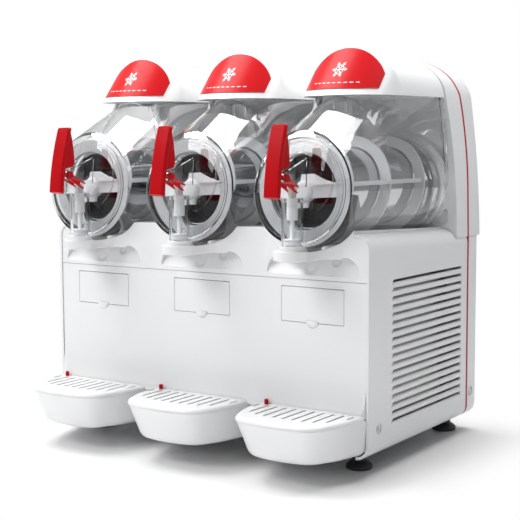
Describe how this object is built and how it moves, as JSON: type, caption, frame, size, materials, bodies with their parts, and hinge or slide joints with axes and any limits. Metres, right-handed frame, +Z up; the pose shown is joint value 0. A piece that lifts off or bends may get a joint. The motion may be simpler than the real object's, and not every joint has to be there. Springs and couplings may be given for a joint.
{
  "type": "slush machine",
  "caption": "Counter-top frozen drink dispenser: clear bowls over steel drums with spiral mixers, pull-down taps, drip trays and a white case with side louvres.",
  "frame": {"origin": "on the counter, under the middle of the machine's overall width and depth", "axes": "+Z up, +Y from the trays to the back cover, +X to the right seen from the front"},
  "size_m": [0.588, 0.4899, 0.6255],
  "materials": {
    "white_shell": "glossy white moulding",
    "white_part": "white food-grade moulding",
    "red": "glossy red moulding",
    "clear": "clear polycarbonate",
    "white_lid": "semi-gloss white moulding",
    "steel": "brushed stainless steel",
    "galvanised": "galvanised sheet",
    "black_plastic": "matt black",
    "black_metal": "black enamel",
    "seal_rubber": "soft grey seal",
    "foot_rubber": "black rubber and plastic",
    "grey_plastic": "grey keypad",
    "aluminium_fin": "bare fins"
  },
  "bodies": {
    "case": {"chassis_base": "galvanised", "front_panel": "white_shell", "deck_panel": "white_shell", "side_panel_left": "white_shell", "side_panel_right": "white_shell", "tower_front": "white_shell", "tower_back": "white_shell", "rear_panel": "white_shell", "red_trim": "red", "feet": "foot_rubber", "control_panel": "grey_plastic", "gearmotors": "galvanised", "compressor": "black_metal", "condenser": "aluminium_fin", "panel_screws": "steel", "cable_inlet": "black_plastic", "bowl_seals": "seal_rubber", "evaporator_left": "steel", "evaporator_middle": "steel", "evaporator_right": "steel"},
    "mixer_left": {"auger_left": "white_part", "drive_shaft_left": "steel"},
    "bowl_left": {"bowl_left": "clear", "nozzle_cap_left": "white_part", "tap_pin_left": "red"},
    "lid_left": {"lid_left": "white_lid", "lid_label_left": "red"},
    "handle_left": {"tap_handle_left": "red"},
    "piston_left": {"tap_piston_left": "white_part"},
    "tray_left": {"tray_left": "white_shell"},
    "grid_left": {"tray_grid_left": "white_shell"},
    "float_left": {"tray_float_left": "red"},
    "door_left": {"door_left": "white_shell"},
    "mixer_middle": {"auger_middle": "white_part", "drive_shaft_middle": "steel"},
    "bowl_middle": {"bowl_middle": "clear", "nozzle_cap_middle": "white_part", "tap_pin_middle": "red"},
    "lid_middle": {"lid_middle": "white_lid", "lid_label_middle": "red"},
    "handle_middle": {"tap_handle_middle": "red"},
    "piston_middle": {"tap_piston_middle": "white_part"},
    "tray_middle": {"tray_middle": "white_shell"},
    "grid_middle": {"tray_grid_middle": "white_shell"},
    "float_middle": {"tray_float_middle": "red"},
    "door_middle": {"door_middle": "white_shell"},
    "mixer_right": {"auger_right": "white_part", "drive_shaft_right": "steel"},
    "bowl_right": {"bowl_right": "clear", "nozzle_cap_right": "white_part", "tap_pin_right": "red"},
    "lid_right": {"lid_right": "white_lid", "lid_label_right": "red"},
    "handle_right": {"tap_handle_right": "red"},
    "piston_right": {"tap_piston_right": "white_part"},
    "tray_right": {"tray_right": "white_shell"},
    "grid_right": {"tray_grid_right": "white_shell"},
    "float_right": {"tray_float_right": "red"},
    "door_right": {"door_right": "white_shell"},
    "fan": {"fan_blades": "black_plastic"}
  },
  "joints": [
    {"name": "mixer_spin_left", "type": "hinge", "parent": "case", "child": "mixer_left", "pos_m": [-0.2, -0.00985, 0.411], "axis": [0, 1, 0], "continuous": true},
    {"name": "bowl_pull_left", "type": "slide", "parent": "case", "child": "bowl_left", "axis": [0, -1, 0], "range_m": [0, 0.3]},
    {"name": "lid_lift_left", "type": "slide", "parent": "bowl_left", "child": "lid_left", "axis": [0, 0, 1], "range_m": [0, 0.15]},
    {"name": "handle_tilt_left", "type": "hinge", "parent": "bowl_left", "child": "handle_left", "pos_m": [-0.2, -0.21685, 0.431], "axis": [1, 0, 0], "range_deg": [0, 35], "stiffness_Nm_per_rad": 1.5, "springref_deg": -17.19},
    {"name": "piston_lift_left", "type": "slide", "parent": "bowl_left", "child": "piston_left", "axis": [0, 0, 1], "range_m": [0, 0.023]},
    {"name": "tray_pull_left", "type": "slide", "parent": "case", "child": "tray_left", "axis": [0, -1, 0], "range_m": [0, 0.12]},
    {"name": "grid_lift_left", "type": "slide", "parent": "tray_left", "child": "grid_left", "axis": [0, 0, 1], "range_m": [0, 0.1]},
    {"name": "float_rise_left", "type": "slide", "parent": "tray_left", "child": "float_left", "axis": [0, 0, 1], "range_m": [0, 0.012]},
    {"name": "door_swing_left", "type": "hinge", "parent": "case", "child": "door_left", "pos_m": [-0.2, -0.12835, 0.2687], "axis": [-1, 0, 0], "range_deg": [0, 95]},
    {"name": "mixer_spin_middle", "type": "hinge", "parent": "case", "child": "mixer_middle", "pos_m": [0, -0.00985, 0.411], "axis": [0, 1, 0], "continuous": true},
    {"name": "bowl_pull_middle", "type": "slide", "parent": "case", "child": "bowl_middle", "axis": [0, -1, 0], "range_m": [0, 0.3]},
    {"name": "lid_lift_middle", "type": "slide", "parent": "bowl_middle", "child": "lid_middle", "axis": [0, 0, 1], "range_m": [0, 0.15]},
    {"name": "handle_tilt_middle", "type": "hinge", "parent": "bowl_middle", "child": "handle_middle", "pos_m": [0, -0.21685, 0.431], "axis": [1, 0, 0], "range_deg": [0, 35], "stiffness_Nm_per_rad": 1.5, "springref_deg": -17.19},
    {"name": "piston_lift_middle", "type": "slide", "parent": "bowl_middle", "child": "piston_middle", "axis": [0, 0, 1], "range_m": [0, 0.023]},
    {"name": "tray_pull_middle", "type": "slide", "parent": "case", "child": "tray_middle", "axis": [0, -1, 0], "range_m": [0, 0.12]},
    {"name": "grid_lift_middle", "type": "slide", "parent": "tray_middle", "child": "grid_middle", "axis": [0, 0, 1], "range_m": [0, 0.1]},
    {"name": "float_rise_middle", "type": "slide", "parent": "tray_middle", "child": "float_middle", "axis": [0, 0, 1], "range_m": [0, 0.012]},
    {"name": "door_swing_middle", "type": "hinge", "parent": "case", "child": "door_middle", "pos_m": [0, -0.12835, 0.2687], "axis": [-1, 0, 0], "range_deg": [0, 95]},
    {"name": "mixer_spin_right", "type": "hinge", "parent": "case", "child": "mixer_right", "pos_m": [0.2, -0.00985, 0.411], "axis": [0, 1, 0], "continuous": true},
    {"name": "bowl_pull_right", "type": "slide", "parent": "case", "child": "bowl_right", "axis": [0, -1, 0], "range_m": [0, 0.3]},
    {"name": "lid_lift_right", "type": "slide", "parent": "bowl_right", "child": "lid_right", "axis": [0, 0, 1], "range_m": [0, 0.15]},
    {"name": "handle_tilt_right", "type": "hinge", "parent": "bowl_right", "child": "handle_right", "pos_m": [0.2, -0.21685, 0.431], "axis": [1, 0, 0], "range_deg": [0, 35], "stiffness_Nm_per_rad": 1.5, "springref_deg": -17.19},
    {"name": "piston_lift_right", "type": "slide", "parent": "bowl_right", "child": "piston_right", "axis": [0, 0, 1], "range_m": [0, 0.023]},
    {"name": "tray_pull_right", "type": "slide", "parent": "case", "child": "tray_right", "axis": [0, -1, 0], "range_m": [0, 0.12]},
    {"name": "grid_lift_right", "type": "slide", "parent": "tray_right", "child": "grid_right", "axis": [0, 0, 1], "range_m": [0, 0.1]},
    {"name": "float_rise_right", "type": "slide", "parent": "tray_right", "child": "float_right", "axis": [0, 0, 1], "range_m": [0, 0.012]},
    {"name": "door_swing_right", "type": "hinge", "parent": "case", "child": "door_right", "pos_m": [0.2, -0.12835, 0.2687], "axis": [-1, 0, 0], "range_deg": [0, 95]},
    {"name": "fan_spin", "type": "hinge", "parent": "case", "child": "fan", "pos_m": [0.205, 0.05515, 0.15], "axis": [1, 0, 0], "continuous": true}
  ],
  "couplings": [
    {"joint": "piston_lift_left", "follows": "handle_tilt_left", "m_per_rad": 0.0365},
    {"joint": "piston_lift_middle", "follows": "handle_tilt_middle", "m_per_rad": 0.0365},
    {"joint": "piston_lift_right", "follows": "handle_tilt_right", "m_per_rad": 0.0365}
  ]
}
